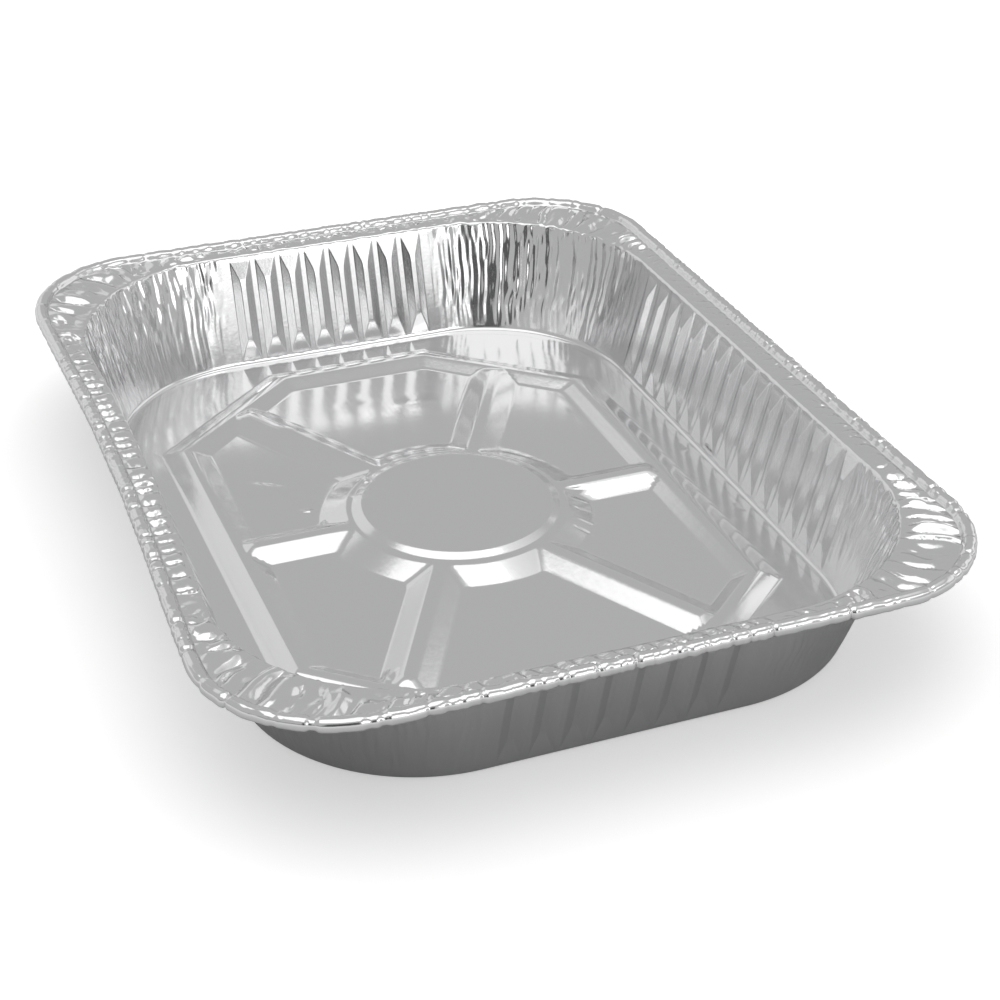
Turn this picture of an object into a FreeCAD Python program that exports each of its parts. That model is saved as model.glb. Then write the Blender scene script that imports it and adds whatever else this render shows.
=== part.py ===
# Foil roasting pan: one sheet of thin aluminium pressed into a shallow rectangular tray.
# X runs across the pan, Y along it and Z upwards; the origin is the middle of the base.
import FreeCAD, Part
import math
import os

from FreeCAD import Vector, Matrix, Placement

doc = FreeCAD.newDocument("foil_pan")
sheet = doc.addObject("Spreadsheet::Sheet", "Sizes")

SIZES = [
    # The sheet itself
    ("sheet_gauge", 0.4, "thickness of the wall as modelled"),
    # The rim seen from above
    ("rim_half_width", 124.0, "middle to the outside of the rolled bead, across"),
    ("rim_half_length", 162.0, "middle to the outside of the rolled bead, along"),
    ("rim_corner", 45.0, "corner radius of the rolled bead"),
    ("rim_height", 46.0, "table to the top of the bead"),
    ("bead_radius", 2.5, "radius of the rolled bead"),
    ("bead_end", -122.0, "angle where the roll stops under the flange"),
    ("bead_steps", 9, "flats round the section of the roll"),
    # The flange between the bead and the top of the wall
    ("flange_across", 12.8, "width of the flange with its bead on the long sides"),
    ("flange_along", 11.1, "width of the flange with its bead on the short sides"),
    ("flange_rise", 3.0, "top of the wall to the top of the bead"),
    ("mouth_half_width", "=rim_half_width - flange_across", "top of the wall, across"),
    ("mouth_half_length", "=rim_half_length - flange_along", "top of the wall, along"),
    ("mouth_height", "=rim_height - flange_rise", "table to the inner edge of the flange"),
    ("mouth_corner", 62.5, "corner radius at the top of the wall"),
    ("shoulder_bend", 0.8, "size of the bend between wall and flange"),
    # The wall, which leans outwards
    ("wall_run_across", 10.8, "how far a long wall leans out from foot to top"),
    ("wall_run_along", 12.5, "how far a short wall leans out from foot to top"),
    ("foot_half_width", "=mouth_half_width - wall_run_across", "foot of the wall, across"),
    ("foot_half_length", "=mouth_half_length - wall_run_along", "foot of the wall, along"),
    ("foot_corner", 57.5, "corner radius at the foot of the wall"),
    ("foot_bend", 1.1, "size of the bend between base and wall"),
    # Gathers at the four corners
    ("gather_steps", 20, "folds round one corner, counted as rises and falls"),
    ("gather_wall", 0.45, "depth of a gather in the corner of the wall"),
    ("gather_edge", 0.35, "height of a gather where wall meets flange"),
    ("gather_flange", 0.75, "height of a gather in the middle of the flange"),
    ("gather_rim", 0.3, "height of a gather beside the bead"),
    # Ribs pressed into the straight walls
    ("rib_pitch", 10.2, "distance from rib to rib"),
    ("rib_foot", 2.0, "height above the table where the ribs begin"),
    ("rib_spare", 0.4, "what a rib is shorter than the wall above its foot"),
    ("rib_length", "=mouth_height - rib_foot - rib_spare", "length of a rib up the slope"),
    ("rib_base", 8.1, "width of a rib where it leaves the wall"),
    ("rib_crest", 2.0, "width of the flat crest of a rib"),
    ("rib_proud", 1.3, "how far a rib stands into the pan"),
    ("rib_hip", 8.5, "length of the sloping end of a rib"),
    # Eight-sided frame raised in the base
    ("base_ring_across", 13.4, "foot of the wall to the frame, across"),
    ("base_ring_along", 12.0, "foot of the wall to the frame, along"),
    ("frame_half_width", "=foot_half_width - base_ring_across", "outer foot of the frame"),
    ("frame_half_length", "=foot_half_length - base_ring_along", "outer foot of the frame"),
    ("frame_cut_across", 54.6, "what its slanting side takes off across"),
    ("frame_cut_along", 48.2, "what its slanting side takes off along"),
    ("frame_height", 3.3, "height of the frame"),
    ("frame_outer_slope", 6.9, "width of the slope outside the crest"),
    ("frame_crest", 2.8, "width of the crest"),
    ("frame_inner_slope", 7.9, "width of the slope inside the crest"),
    # Spokes
    ("relief_height", 4.0, "height of the spokes and the hub ring"),
    ("spoke_base", 19.4, "width of a spoke at its foot"),
    ("spoke_crest", 3.2, "width of the flat crest of a spoke"),
    ("spoke_angle", 61.4, "angle of the slanting spokes from the short way"),
    ("spoke_stop", 13.0, "outer foot of the frame to the end of the crest of a spoke"),
    ("spoke_run", 9.5, "length of the slope at the end of a spoke"),
    ("spoke_reach", "=frame_half_width - spoke_stop", "middle to the end of the crest"),
    ("spoke_reach_slant",
     "=(frame_cut_along * (frame_half_width - frame_cut_across)"
     " + frame_cut_across * frame_half_length)"
     " / (frame_cut_along * cos(spoke_angle) + frame_cut_across * sin(spoke_angle))"
     " - spoke_stop",
     "the same on the slanting spokes"),
    # Hub and disc
    ("hub_foot", 48.4, "radius of the hub at its foot"),
    ("hub_crest", 38.6, "radius of the hub ring at its outer edge"),
    ("disc_foot", 37.0, "radius of the middle disc at its foot"),
    ("disc_top", 33.4, "radius of the flat of the middle disc"),
    ("disc_rise", 1.6, "how far the disc stands above the hub ring"),
]

for row, (name, value, note) in enumerate(SIZES, start=1):
    sheet.set("A%d" % row, name)
    sheet.setAlias("B%d" % row, name)
for row, (name, value, note) in enumerate(SIZES, start=1):
    sheet.set("B%d" % row, str(value))
    sheet.set("C%d" % row, note)
doc.recompute()


def size(name):
    return float(sheet.get(name))


def bind(thing, **formulas):
    for prop, formula in formulas.items():
        thing.setExpression(prop, formula)


gauge = size("sheet_gauge")


# Pressed sheet: a closed loop of outlines from the inside of the base, up the wall, over
# the flange, round the rolled bead and back along the underside

steps = int(size("gather_steps"))


def outline(half_width, half_length, corner, height, lift=0.0, swell=0.0):
    """Corners of a rounded rectangle drawn as a polygon; round its corners every second
    point is lifted and pushed out, the points between lowered and drawn in as much."""
    points = []
    for quarter in range(4):
        sign_x = (1, -1, -1, 1)[quarter]
        sign_y = (1, 1, -1, -1)[quarter]
        middle_x = sign_x * (half_width - corner)
        middle_y = sign_y * (half_length - corner)
        for step in range(steps + 1):
            angle = math.radians(90.0 * (quarter + step / steps))
            inside = 0 < step < steps
            side = (1 if step % 2 else -1) if inside else 0
            reach = corner + swell * side
            points.append(Vector(middle_x + reach * math.cos(angle),
                                 middle_y + reach * math.sin(angle),
                                 height + lift * side))
    return points


def flat_face(*points):
    return Part.Face(Part.makePolygon(list(points) + [points[0]]))


def skin(lower, upper):
    """Faces between two outlines: one flat face where four corners lie in a plane, two
    flat faces where a gather twists them."""
    faces = []
    count = len(lower)
    for at in range(count):
        after = (at + 1) % count
        a, b, c, d = lower[at], lower[after], upper[after], upper[at]
        normal = (b - a).cross(d - a)
        normal.normalize()
        if abs((c - a).dot(normal)) < 1e-7:
            faces.append(flat_face(a, b, c, d))
        else:
            faces.append(flat_face(a, b, c))
            faces.append(flat_face(a, c, d))
    return faces


foot_w = size("foot_half_width")
foot_l = size("foot_half_length")
foot_r = size("foot_corner")
foot_b = size("foot_bend")
mouth_w = size("mouth_half_width")
mouth_l = size("mouth_half_length")
mouth_r = size("mouth_corner")
mouth_z = size("mouth_height")
bend = size("shoulder_bend")
rim_w = size("rim_half_width")
rim_l = size("rim_half_length")
rim_r = size("rim_corner")
bead = size("bead_radius")
bead_z = size("rim_height") - bead
flange_in = 2 * bead - gauge / 2
middle_w = (mouth_w + rim_w - flange_in) / 2
middle_l = (mouth_l + rim_l - flange_in) / 2
middle_r = (mouth_r + rim_r - flange_in) / 2
middle_z = (mouth_z + bead_z) / 2


def bead_outline(radius, degrees, lift=0.0):
    """Outline through one point of the section of the roll."""
    angle = math.radians(degrees)
    inset = bead - radius * math.cos(angle)
    return outline(rim_w - inset, rim_l - inset, rim_r - inset,
                   bead_z + radius * math.sin(angle), lift)


base_inside = outline(foot_w - foot_b, foot_l - foot_b, foot_r - foot_b, gauge)
foot_inside = outline(foot_w, foot_l, foot_r, gauge + foot_b)
wall_inside = outline(mouth_w - bend / 4, mouth_l - bend / 4, mouth_r - bend / 4,
                      mouth_z - bend, 0.0, size("gather_wall"))
mouth_top = outline(mouth_w + bend / 2, mouth_l + bend / 2, mouth_r, mouth_z,
                    size("gather_edge"))
middle_top = outline(middle_w, middle_l, middle_r, middle_z + gauge / 2,
                     size("gather_flange"))
half_sheet = math.degrees(math.asin(gauge / 2 / bead))
edge_top = bead_outline(bead, 180 - half_sheet, size("gather_rim"))
edge_under = bead_outline(bead, 180 + half_sheet, size("gather_rim"))
middle_under = outline(middle_w, middle_l, middle_r, middle_z - gauge / 2,
                       size("gather_flange"))
mouth_under = outline(mouth_w + bend / 2 + gauge / 2, mouth_l + bend / 2 + gauge / 2,
                      mouth_r, mouth_z - gauge, size("gather_edge"))
wall_outside = outline(mouth_w - bend / 4 + gauge, mouth_l - bend / 4 + gauge,
                       mouth_r - bend / 4 + gauge, mouth_z - bend - gauge / 4, 0.0,
                       size("gather_wall"))
foot_outside = outline(foot_w + gauge, foot_l + gauge, foot_r + gauge, gauge / 2 + foot_b)
base_outside = outline(foot_w - foot_b + gauge / 2, foot_l - foot_b + gauge / 2,
                       foot_r - foot_b + gauge / 2, 0.0)

flats = int(size("bead_steps"))
roll_from = 180 - half_sheet
roll_to = size("bead_end")
roll_outside = [bead_outline(bead, roll_from + (roll_to - roll_from) * step / flats)
                for step in range(1, flats + 1)]
roll_inside = [bead_outline(bead - gauge, roll_to + (180 - roll_to) * step / flats)
               for step in range(flats + 1)]

loop = [base_inside, foot_inside, wall_inside, mouth_top, middle_top, edge_top]
loop += roll_outside + roll_inside
loop += [edge_under, middle_under, mouth_under, wall_outside, foot_outside, base_outside]
skins = [flat_face(*base_inside), flat_face(*base_outside)]
for lower, upper in zip(loop[:-1], loop[1:]):
    skins += skin(lower, upper)

pressed = doc.addObject("Part::Feature", "PressedSheet")
sewn = Part.Shell(skins)
sewn.sewShape()
pressed_solid = Part.Solid(sewn if sewn.ShapeType == "Shell" else sewn.Shells[0])
if pressed_solid.Volume < 0:
    pressed_solid.reverse()
pressed.Shape = pressed_solid


# Ribs: one hipped bar, repeated along each wall. The same bar stands out on the inside
# and leaves its hollow on the outside, so the sheet keeps one gauge throughout.

rib_bar = doc.addObject("Part::Wedge", "RibBar")
half_foot = "(Sizes.rib_base / 2 + Sizes.sheet_gauge * (Sizes.rib_base - Sizes.rib_crest)" \
    " / (4 * Sizes.rib_proud))"
overrun = "(Sizes.sheet_gauge * Sizes.rib_hip / (2 * Sizes.rib_proud))"
bind(rib_bar,
     Xmin="-" + half_foot,
     Xmax=half_foot,
     X2min="-Sizes.rib_crest / 2",
     X2max="Sizes.rib_crest / 2",
     Ymin="-Sizes.sheet_gauge / 2",
     Ymax="Sizes.rib_proud",
     Zmin="-" + overrun,
     Zmax="Sizes.rib_length + " + overrun,
     Z2min="Sizes.rib_hip",
     Z2max="Sizes.rib_length - Sizes.rib_hip")
doc.recompute()

foot_z = gauge + foot_b


def rib_places(foot_half, mouth_half, count, turn):
    """Where the bars of one wall go: pairs of placements, inside bar and outside hollow."""
    lean = math.atan2(mouth_half - bend / 4 - foot_half, mouth_z - bend - foot_z)
    inward = Vector(0, -math.cos(lean), math.sin(lean))
    upward = Vector(0, math.sin(lean), math.cos(lean))
    across = inward.cross(upward)
    climb = (size("rib_foot") - foot_z) / math.cos(lean)
    about = Placement(Vector(0, 0, 0), FreeCAD.Rotation(Vector(0, 0, 1), turn))
    places = []
    for number in range(count):
        offset = (number - (count - 1) / 2) * size("rib_pitch")
        corner = Vector(offset, foot_half, foot_z) + upward * climb
        for depth in (0.0, gauge * math.cos(lean)):
            at = corner - inward * depth
            frame = Matrix(across.x, inward.x, upward.x, at.x,
                           across.y, inward.y, upward.y, at.y,
                           across.z, inward.z, upward.z, at.z,
                           0, 0, 0, 1)
            places.append(about.multiply(Placement(frame)))
    return places[0::2], places[1::2]


def rib_count(straight):
    """How many ribs fit on a straight wall of this length."""
    return int((straight + size("rib_pitch") - size("rib_base")) / size("rib_pitch"))


bars = []
hollows = []
short_count = rib_count(2 * (foot_w - foot_r))
long_count = rib_count(2 * (foot_l - foot_r))
for turn, foot_half, mouth_half, count in ((0, foot_l, mouth_l, short_count),
                                           (180, foot_l, mouth_l, short_count),
                                           (90, foot_w, mouth_w, long_count),
                                           (-90, foot_w, mouth_w, long_count)):
    inside, outside = rib_places(foot_half, mouth_half, count, turn)
    for placement in inside:
        bars.append(rib_bar.Shape.transformed(placement.toMatrix()))
    for placement in outside:
        hollows.append(rib_bar.Shape.transformed(placement.toMatrix()))

rib_bars = doc.addObject("Part::Feature", "RibBars")
rib_bars.Shape = Part.makeCompound(bars)
rib_hollows = doc.addObject("Part::Feature", "RibHollows")
rib_hollows.Shape = Part.makeCompound(hollows)


# Relief of the base: an eight-sided frame, six spokes and a round hub with a raised disc

frame_w = size("frame_half_width")
frame_l = size("frame_half_length")
cut_across = size("frame_cut_across")
cut_along = size("frame_cut_along")
cut = math.hypot(cut_across, cut_along)


def octagon(inset, height):
    """Eight-sided outline with all its sides set in by the same distance."""
    end = frame_w - cut_across - inset * (cut - cut_across) / cut_along
    side = frame_l - cut_along - inset * (cut - cut_along) / cut_across
    quarter = [(end, frame_l - inset), (frame_w - inset, side)]
    mirrored = [(x, -y) for x, y in reversed(quarter)]
    right = quarter + mirrored
    left = [(-x, -y) for x, y in right]
    points = [Vector(x, y, height) for x, y in right + left]
    return Part.makePolygon(points + points[:1])


frame_h = size("frame_height")
crest_from = size("frame_outer_slope")
crest_to = crest_from + size("frame_crest")
frame_to = crest_to + size("frame_inner_slope")
frame_body = Part.makeLoft([octagon(0, 0), octagon(crest_from, frame_h)], True, True)
frame_well = Part.makeLoft([octagon(frame_to, 0), octagon(crest_to, frame_h)], True, True)
base_frame = doc.addObject("Part::Feature", "BaseFrame")
base_frame.Shape = frame_body.cut(frame_well)

hub = doc.addObject("Part::Cone", "Hub")
bind(hub, Radius1="Sizes.hub_foot", Radius2="Sizes.hub_crest", Height="Sizes.relief_height")
disc = doc.addObject("Part::Cone", "Disc")
bind(disc, Radius1="Sizes.disc_foot", Radius2="Sizes.disc_top", Height="Sizes.disc_rise")
disc.Placement = Placement(Vector(0, 0, size("relief_height")), FreeCAD.Rotation())

spokes = []
on_its_back = FreeCAD.Rotation(Vector(1, 0, 0), 90)
for label, turn, reach in (("SpokeAcross", 90, "Sizes.spoke_reach"),
                           ("SpokeSlantRight", size("spoke_angle") - 90,
                            "Sizes.spoke_reach_slant"),
                           ("SpokeSlantLeft", 90 - size("spoke_angle"),
                            "Sizes.spoke_reach_slant")):
    spoke = doc.addObject("Part::Wedge", label)
    bind(spoke,
         Xmin="-Sizes.spoke_base / 2",
         Xmax="Sizes.spoke_base / 2",
         X2min="-Sizes.spoke_crest / 2",
         X2max="Sizes.spoke_crest / 2",
         Ymin="0 * Sizes.relief_height",
         Ymax="Sizes.relief_height",
         Zmin="-%s - Sizes.spoke_run" % reach,
         Zmax="%s + Sizes.spoke_run" % reach,
         Z2min="-" + reach,
         Z2max=reach)
    about = FreeCAD.Rotation(Vector(0, 0, 1), turn)
    spoke.Placement = Placement(Vector(0, 0, 0), about.multiply(on_its_back))
    spokes.append(spoke)

relief = doc.addObject("Part::MultiFuse", "ReliefUnderside")
relief.Shapes = [base_frame, hub, disc] + spokes
doc.recompute()
relief_top = doc.addObject("Part::Feature", "ReliefTop")
relief_top.Shape = relief.Shape.translated(Vector(0, 0, gauge))


# The whole pan: everything that stands up is joined, then the hollows below are taken out

raised = doc.addObject("Part::MultiFuse", "RaisedSheet")
raised.Shapes = [pressed, rib_bars, relief_top]
hollow_tools = doc.addObject("Part::Compound", "HollowTools")
hollow_tools.Links = [rib_hollows, relief]
pan = doc.addObject("Part::Cut", "pan")
pan.Base = raised
pan.Tool = hollow_tools
pan.Refine = True
pan.Label = "pan"
doc.recompute()

for thing in doc.Objects:
    if "Invalid" in thing.State or "Error" in thing.State:
        raise RuntimeError("bad feature: " + thing.Label)
shape = pan.Shape
if shape.isNull() or not shape.isValid() or len(shape.Solids) != 1:
    raise RuntimeError("the pan is not one sound solid")

os.makedirs("parts", exist_ok=True)
shape.exportStep("parts/pan.step")
print("pan", shape.Volume, len(shape.Faces))
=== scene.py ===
"""Looks of a foil roasting pan: one pressed sheet of thin aluminium with ribbed walls, gathered
corners, a rolled bead, and a raised frame, spokes and hub in the base. Sizes are in
millimetres and are scaled to metres where a mesh is made."""

import math

import bpy
import numpy as np
from mathutils import Matrix, Vector


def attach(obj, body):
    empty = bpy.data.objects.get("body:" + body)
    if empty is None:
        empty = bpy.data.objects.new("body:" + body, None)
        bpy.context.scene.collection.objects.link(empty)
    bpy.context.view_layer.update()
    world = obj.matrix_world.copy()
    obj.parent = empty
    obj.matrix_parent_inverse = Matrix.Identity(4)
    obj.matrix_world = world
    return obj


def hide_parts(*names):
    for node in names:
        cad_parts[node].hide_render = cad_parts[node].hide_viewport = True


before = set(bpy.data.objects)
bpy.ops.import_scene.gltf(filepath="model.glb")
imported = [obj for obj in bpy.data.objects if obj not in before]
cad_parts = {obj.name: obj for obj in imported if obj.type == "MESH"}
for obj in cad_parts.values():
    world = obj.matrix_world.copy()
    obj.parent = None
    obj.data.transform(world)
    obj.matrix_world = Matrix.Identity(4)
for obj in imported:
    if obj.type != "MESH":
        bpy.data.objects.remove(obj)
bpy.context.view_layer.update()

scene = bpy.context.scene
scene.view_settings.view_transform = "Standard"

METRE = 0.001
GAUGE = 0.2
FLOOR_GAP = 0.2
UP = np.array((0, 0, 1.0))

# Outlines seen from above: half width, half length, and radius of the corners

RIM = (124.0, 162.0, 45.0)
MOUTH = (111.2, 150.9, 62.5)
FOOT = (100.4, 138.4, 57.5)
BORDER_INSET = 4.0
BORDER_GAP = 0.05
ARC_X, ARC_Y = FOOT[0] - FOOT[2], FOOT[1] - FOOT[2]

# Heights and bends of the section

FOOT_Z = 0.2
FOOT_BEND = 1.6
MOUTH_Z = 42.7
SHOULDER_BEND = 1.1
RIM_TOP = 46.0

# Rolled bead: radius of its section, the angles at which the roll starts and ends, the power
# that flattens the section, and the small fillet between the flange and the roll

BEAD = 2.45
BEAD_Z = RIM_TOP - BEAD
BEAD_FROM, BEAD_TO = 150.0, -122.0
BEAD_FLAT = 0.88
FILLET_RUN, FILLET_DROP = 0.4, 0.2
PINCHES = 36
PINCH_STEP, PINCH_HALF, PINCH_DEPTH = (2.0, 9.0), (0.6, 1.2), (0.1, 0.8)
PINCH_MOST = 0.8
ROLL_DENTS = (2.2, 0.16)
ROLL_DENT_MEAN = 0.2
ROLL_SAG = (6.0, 0.35)
# Sides and corners (negative) whose roll is pinched less than the others
SMOOTH_SIDES = {1: 0.35, 0: 0.5, -2: 0.45, -1: 0.45}

# Ribs of the walls: hipped bars

PITCH = 10.2
RIBS_LONG, RIBS_SHORT = 16, 8
RIB_Z = 2.0
RIB_LENGTH = 40.6
RIB_HALF = 4.05
RIB_FACET = 3.05
RIB_PROUD = 1.3
RIB_HIP = 8.5
RIB_ROUND = 0.08
CREASE_COLUMN = 0.25

# Gathers. Distances round a corner run along an arc of the length given, for the wall, the
# flange and the bead, and distances on a side have its middle at SIDE_MIDDLE. The random lines
# are drawn over the two reaches; past them they run level.

WALL_ARC, FLANGE_ARC, BEAD_ARC = 95.0, 85.5, 80.75
SIDE_MIDDLE = 90.0
FOLD_REACH, SIDE_REACH = 120.0, 190.0
# Zigzags one above the other: how many, the share of the height from one to the next, and the
# half height of each; then the share of the height over which a fold drifts, and the distance
# over which it wanders and how much of the drift that has
FOLD_LAYERS, LAYER_STEP, LAYER_HALF = 3, 0.5, 0.62
DRIFT_STEP, WANDER_STEP, WANDER_SHARE = 0.13, 9.0, 0.7
# Folds of the corner walls: first seed, spacing, depth, drift of the lines
WALL_FOLDS = ((7, 3.4, 0.5, 1.4), (37, 1.35, 0.3, 0.9))
# Pleats of the flange at the corners: spacing, height, unevenness, mean height taken off
CORNER_PLEATS = (4.2, 2.3, 0.6, 0.8)
# Narrow folds over the corner pleats, and crumples beside the roll on the sides: spacing,
# depth, drift
PLEAT_FOLDS = (2.3, 0.55, 0.7)
CRUMPLES = (2.3, 1.0, 2.0)
# Flange of each side (right, far, left, near): spacing and height of its bulges, height of the
# crumples beside the roll, and how far the bulges lean along the side
PILLOWS = ((5.6, 0.5, 0.35, 4.0), (5.2, 0.9, 0.7, 1.5), (6.2, 1.7, 0.2, 0.5),
           (5.6, 1.7, 0.3, 0.5))
# Power that makes a bulge fuller, and the share of the flange over which it grows
PLEAT_FULL, PLEAT_GROWTH = 0.75, 0.3
PILLOW_UNEVEN = 0.3
PILLOW_MEAN = 0.4
# Height of folds over the flange, by share of the way from the mouth to the roll
FOLD_PLACES = (0.0, 0.12, 0.4, 0.85, 1.0)
FOLD_SHARES = (0.0, 0.35, 1.0, 0.9, 0.35)
BEND_SHARE = 0.12

# Push of the bowed left side inwards, by place along it, and where across the pan it sets in

BOW_PLACES = (-130.0, -110.0, -80.0, -50.0, -15.0, 30.0, 55.0, 100.0, 160.0)
BOW_PUSHES = (0.0, 0.3, 1.7, 3.1, 4.3, 4.6, 4.1, 2.7, 1.6)
BOW_FROM, BOW_RUN = 50.0, 55.0

# Relief of the base: spokes by their bearings and ends, hub and disc by their radii

RELIEF = 4.0
FRAME_H = 2.8
CREASE_ROUND = 0.42
JOIN_ROUND = 1.2
SPOKE_HALF = 9.7
SPOKE_FACET = 8.1
SPOKE_TURNS = (0.0, 61.4, 118.6)
SPOKE_ENDS = (83.5, 114.8, 114.8)
SPOKE_RUN = 9.5
HUB_FOOT, HUB_CREST = 48.4, 38.6
DISC_FOOT, DISC_TOP, DISC_RISE = 37.0, 33.4, 1.6
DISC_ROUND = 0.25

# Square to the frame's slanting sides
SLANT = np.array((48.2, 54.6)) / math.hypot(48.2, 54.6)


def octagon(half_width, half_length, half_end):
    """Distances of the sides from the middle: right, far, and the slant through the corner
    (half_end, half_length)."""
    return half_width, half_length, float(SLANT @ (half_end, half_length))


FRAME_OUT = octagon(87.0, 126.4, 32.4)
CREST_OUT = octagon(80.2, 119.4, 29.9)
CREST_IN = octagon(77.4, 116.7, 29.0)
FRAME_IN = octagon(70.4, 110.4, 27.4)

# Dents: x, y, bearing in degrees, half length, half width, height
DENTS = ((-48.5, 20.8, -12, 3.4, 1.5, 0.55), (-57.0, 42.0, -34, 9.5, 3.2, 0.34),
         (-23.8, 26.2, -78, 6.5, 1.0, 0.45), (-30.6, 15.6, -60, 5.5, 1.1, 0.45),
         (-26.5, 18.0, -10, 4.5, 0.9, 0.25), (-11.7, 32.8, 20, 3.0, 1.0, 0.4),
         (-46.0, 9.0, 80, 3.0, 1.6, 0.6), (-46.4, 3.6, -12, 4.5, 0.9, -0.5),
         (-55.5, -87.3, 62, 6.0, 2.6, 0.9), (-73.0, -19.5, 80, 7.5, 4.0, 0.4),
         (43.5, 2.5, 4, 5.0, 1.0, 0.3), (44.0, -3.5, -4, 5.5, 1.1, -0.3),
         (43.2, -9.5, -12, 5.0, 1.0, 0.35), (42.0, -16.0, -20, 5.5, 1.2, -0.3),
         (40.0, -22.5, -30, 5.0, 1.0, 0.3), (37.2, -28.0, -38, 4.5, 1.2, -0.3),
         (16.0, -6.0, -35, 14.0, 0.8, 0.06), (-96.0, -52.0, 88, 9.0, 1.5, 0.35),
         (96.5, 12.0, 84, 7.0, 1.4, 0.4), (95.5, -31.0, 96, 5.0, 1.2, -0.4),
         (60.0, -52.0, 50, 11.0, 5.0, 0.16), (12.0, 84.0, 5, 12.0, 5.0, 0.2),
         (-8.0, 92.0, 15, 10.0, 4.0, -0.18), (-40.0, 75.0, -20, 13.0, 6.0, 0.2),
         (-73.5, 15.0, 8, 4.5, 3.0, 0.08), (-73.5, 26.0, 4, 4.5, 2.5, -0.08),
         (-73.5, 37.0, 6, 4.5, 3.5, 0.1), (-73.5, 50.0, 10, 4.5, 3.0, -0.09))


# Small tools for shapes

def ease_min(a, b, width):
    """Lower of two heights; within `width` of each other they are joined by a parabola."""
    near = np.clip(width - np.abs(a - b), 0.0, None) / width
    return np.minimum(a, b) - near * near * width / 4


def ease_max(a, b, width):
    """Upper of two heights, joined in the same way."""
    return -ease_min(-a, -b, width)


def hump(x):
    """Bell of height 1 and half width 1: (1 - x^2)^2 inside, 0 outside."""
    return np.clip(1 - x * x, 0, None) ** 2


def between(marks, counts):
    """Rows from mark to mark, `counts` steps in each stretch."""
    parts = [np.linspace(a, b, n, endpoint=False) for a, b, n in zip(marks, marks[1:], counts)]
    return np.concatenate(parts + [marks[-1:]])


def turn_over(before, at, after, share):
    """Round a corner of the section: the quadratic curve with `at` as its middle point,
    (1 - s)^2 before + 2 s (1 - s) at + s^2 after."""
    return (1 - share) ** 2 * before + 2 * share * (1 - share) * at + share * share * after


def lift(flat, height):
    """Points seen from above, put at a height."""
    return np.concatenate([flat, np.broadcast_to(height, (len(flat),))[:, None]], 1)


def unit(vectors):
    """Vectors over their lengths."""
    return vectors / np.linalg.norm(vectors, axis=-1, keepdims=True)


def noise_line(seed, length, step, height):
    """Random broken line through evenly spaced points, as a function of distance."""
    chance = np.random.default_rng(seed)
    knots = chance.uniform(-height, height, int(length / step) + 3)

    def line(at):
        return np.interp(at, np.arange(len(knots)) * step - step, knots)
    return line


# Round the pan: rays seen from above. On the straight sides they run square to the wall, and
# at a corner they fan out from the middle of the corner arc of the foot. The columns of half
# a rib's pitch crowd where its creases run.

HALF_PITCH = np.array((-5.1, -4.3, -4.05, -3.8, -3.1, -2.4, -1.8, -1.25, -1.0, -0.75))
IN_PITCH = np.concatenate([HALF_PITCH, (0.0,), -HALF_PITCH[:0:-1]])
CORNER_RAYS = 270
SIDE_CLEAR = 0.3


def side_places(count, half):
    """Places of the rays along one side: the columns of `count` ribs set at even pitch,
    and the start of the side at -half."""
    middles = (np.arange(count) - (count - 1) / 2) * PITCH
    places = (middles[:, None] + IN_PITCH).ravel()
    return np.append(-half, places[np.abs(places) < half - SIDE_CLEAR])


def make_rays():
    """Origins, directions, side number (0 right, 1 far, 2 left, 3 near; from -1 to -4 at the
    corner after each), place along the side, and turn (0 to 1) round the corner, for every
    ray, anticlockwise."""
    origins, headings, sides, places, turns = [], [], [], [], []
    halves = (ARC_Y, ARC_X, ARC_Y, ARC_X)
    counts = (RIBS_LONG, RIBS_SHORT, RIBS_LONG, RIBS_SHORT)
    for side in range(4):
        out = np.array((math.cos(side * math.pi / 2), math.sin(side * math.pi / 2)))
        left = np.array((-out[1], out[0]))
        at = side_places(counts[side], halves[side])
        origins.append(at[:, None] * left)
        headings.append(np.broadcast_to(out, (len(at), 2)))
        sides.append(np.full(len(at), side))
        places.append(at)
        turns.append(np.zeros(len(at)))
        turn = np.arange(CORNER_RAYS) / CORNER_RAYS
        angle = (side + turn) * math.pi / 2
        corner = halves[side] * left + halves[(side + 1) % 4] * out
        origins.append(np.broadcast_to(corner, (CORNER_RAYS, 2)))
        headings.append(np.stack([np.cos(angle), np.sin(angle)], 1))
        sides.append(np.full(CORNER_RAYS, -1 - side))
        places.append(np.zeros(CORNER_RAYS))
        turns.append(turn)
    return [np.concatenate(part) for part in (origins, headings, sides, places, turns)]


ray_from, ray_to, ray_side, ray_place, ray_turn = make_rays()
ray_left = np.stack([-ray_to[:, 1], ray_to[:, 0]], 1)
RAYS = len(ray_side)


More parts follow.
